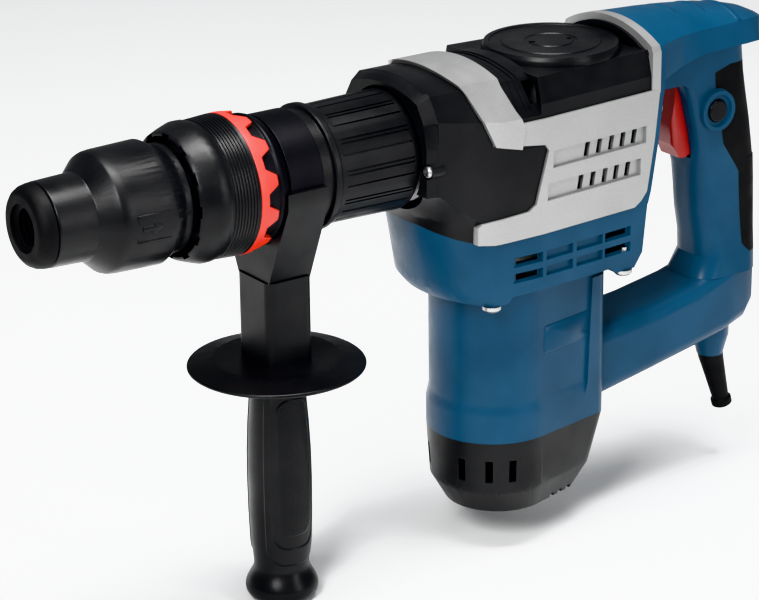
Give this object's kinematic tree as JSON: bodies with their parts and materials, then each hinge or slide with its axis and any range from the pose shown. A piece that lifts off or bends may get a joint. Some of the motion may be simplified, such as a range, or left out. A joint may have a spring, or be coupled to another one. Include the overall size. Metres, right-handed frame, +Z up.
{
  "type": "electric jackhammer",
  "caption": "Corded demolition hammer with a long stepped tool holder, a motor hanging below an arched casing, a closed D-shaped rear handle and a clamped side handle with a round hand guard.",
  "frame": {"origin": "centre of the tool socket's mouth, on the tool axis", "axes": "-X points out of the nose along the tool axis, +X towards the D-handle, +Z up, the motor hangs down -Z, and the handle's trigger side with the lock-on button faces -Y"},
  "size_m": [0.476, 0.0958, 0.2895],
  "materials": {
    "blue_plastic": "satin, fine texture",
    "charcoal_plastic": "satin, fine texture",
    "silver_paint": "satin",
    "black_rubber": "matte",
    "red_orange_plastic": "satin",
    "red_plastic": "satin",
    "cast_magnesium": "as cast",
    "steel": "ground",
    "dark_steel": "satin",
    "core_steel": "laminated",
    "copper": "lacquered",
    "bronze": "satin",
    "white_plastic": "satin",
    "carbon": "matte"
  },
  "bodies": {
    "housing": {"stop_ring": "dark_steel", "holder_bush": "bronze", "barrel_cover": "charcoal_plastic", "gear_housing": "cast_magnesium", "guide_sleeve": "steel", "cylinder": "steel", "crank_bridge": "cast_magnesium", "ball_bearings": "steel", "stator_core": "core_steel", "field_coils": "copper", "carbon_brushes": "carbon", "brush_holders": "bronze", "brush_springs": "steel", "housing_screws": "steel", "motor_housing": "blue_plastic", "motor_end_cap": "charcoal_plastic", "front_case": "charcoal_plastic", "top_cover": "charcoal_plastic", "silver_frame": "silver_paint", "grease_cap": "charcoal_plastic", "rear_plate": "blue_plastic", "handle_screws": "steel", "trigger_pin": "steel", "handle_left": "blue_plastic", "handle_right": "blue_plastic", "grip_pad": "black_rubber", "switch_module": "carbon", "trigger_spring": "steel", "button_spring": "steel", "cable_gland": "blue_plastic", "strain_relief": "black_rubber"},
    "tool_spindle": {"tool_holder": "dark_steel", "dust_cap": "black_rubber", "locking_rollers": "steel", "locking_spring": "dark_steel", "index_spring": "dark_steel"},
    "lock_sleeve": {"locking_sleeve": "charcoal_plastic", "lock_ring": "dark_steel"},
    "index_collar": {"index_collar": "charcoal_plastic", "index_ring": "red_orange_plastic"},
    "beat_piece": {"beat_piece": "steel"},
    "striker": {"striker": "steel", "striker_seal": "black_rubber"},
    "piston": {"piston": "bronze", "piston_ring": "white_plastic"},
    "crank": {"crankshaft": "steel", "drive_gear": "steel"},
    "connecting_rod": {"connecting_rod": "steel"},
    "armature": {"armature_shaft": "steel", "armature_core": "core_steel", "armature_coils": "copper", "commutator": "copper", "cooling_fan": "white_plastic"},
    "side_handle": {"clamp_band": "dark_steel", "tension_bolt": "steel", "handle_stem": "charcoal_plastic", "hand_guard": "charcoal_plastic"},
    "side_grip": {"side_grip": "charcoal_plastic"},
    "trigger": {"trigger": "red_plastic"},
    "lock_on_button": {"lock_on_button": "charcoal_plastic"}
  },
  "joints": [
    {"name": "tool_spindle_turn", "type": "hinge", "parent": "housing", "child": "tool_spindle", "pos_m": [0, 0, 0], "axis": [1, 0, 0], "continuous": true},
    {"name": "lock_sleeve_slide", "type": "slide", "parent": "tool_spindle", "child": "lock_sleeve", "axis": [1, 0, 0], "range_m": [0, 0.007], "stiffness_N_per_m": 3000, "springref_m": -0.003, "deforming": ["locking_spring"]},
    {"name": "index_collar_slide", "type": "slide", "parent": "tool_spindle", "child": "index_collar", "axis": [-1, 0, 0], "range_m": [0, 0.0035], "stiffness_N_per_m": 3000, "springref_m": -0.003, "deforming": ["index_spring"]},
    {"name": "beat_piece_slide", "type": "slide", "parent": "housing", "child": "beat_piece", "axis": [1, 0, 0], "range_m": [-0.003, 0.0035]},
    {"name": "striker_slide", "type": "slide", "parent": "housing", "child": "striker", "axis": [1, 0, 0], "range_m": [0, 0.02]},
    {"name": "piston_slide", "type": "slide", "parent": "housing", "child": "piston", "axis": [1, 0, 0], "range_m": [0, 0.018]},
    {"name": "crank_spin", "type": "hinge", "parent": "housing", "child": "crank", "pos_m": [0.3169, 0, 0], "axis": [0, 0, 1], "continuous": true},
    {"name": "rod_turn", "type": "hinge", "parent": "crank", "child": "connecting_rod", "pos_m": [0.3079, 0, 0], "axis": [0, 0, 1], "continuous": true},
    {"name": "armature_spin", "type": "hinge", "parent": "housing", "child": "armature", "pos_m": [0.27753, 0, 0], "axis": [0, 0, 1], "continuous": true},
    {"name": "side_handle_swivel", "type": "hinge", "parent": "housing", "child": "side_handle", "pos_m": [0.134, 0, 0], "axis": [1, 0, 0], "continuous": true},
    {"name": "side_grip_turn", "type": "hinge", "parent": "side_handle", "child": "side_grip", "pos_m": [0.134, 0, -0.17], "axis": [0, 0, 1], "continuous": true},
    {"name": "trigger_pull", "type": "hinge", "parent": "housing", "child": "trigger", "pos_m": [0.411, 0, 0.0005], "axis": [0, -1, 0], "range_deg": [0, 8], "stiffness_Nm_per_rad": 1, "springref_deg": -5.73, "deforming": ["trigger_spring"]},
    {"name": "lock_on_press", "type": "slide", "parent": "housing", "child": "lock_on_button", "axis": [0, 1, 0], "range_m": [0, 0.003], "stiffness_N_per_m": 600, "springref_m": -0.002, "deforming": ["button_spring"]}
  ],
  "couplings": [
    {"joint": "rod_turn", "follows": "crank_spin", "ratio": -1},
    {"joint": "armature_spin", "follows": "crank_spin", "ratio": -4.7273}
  ]
}
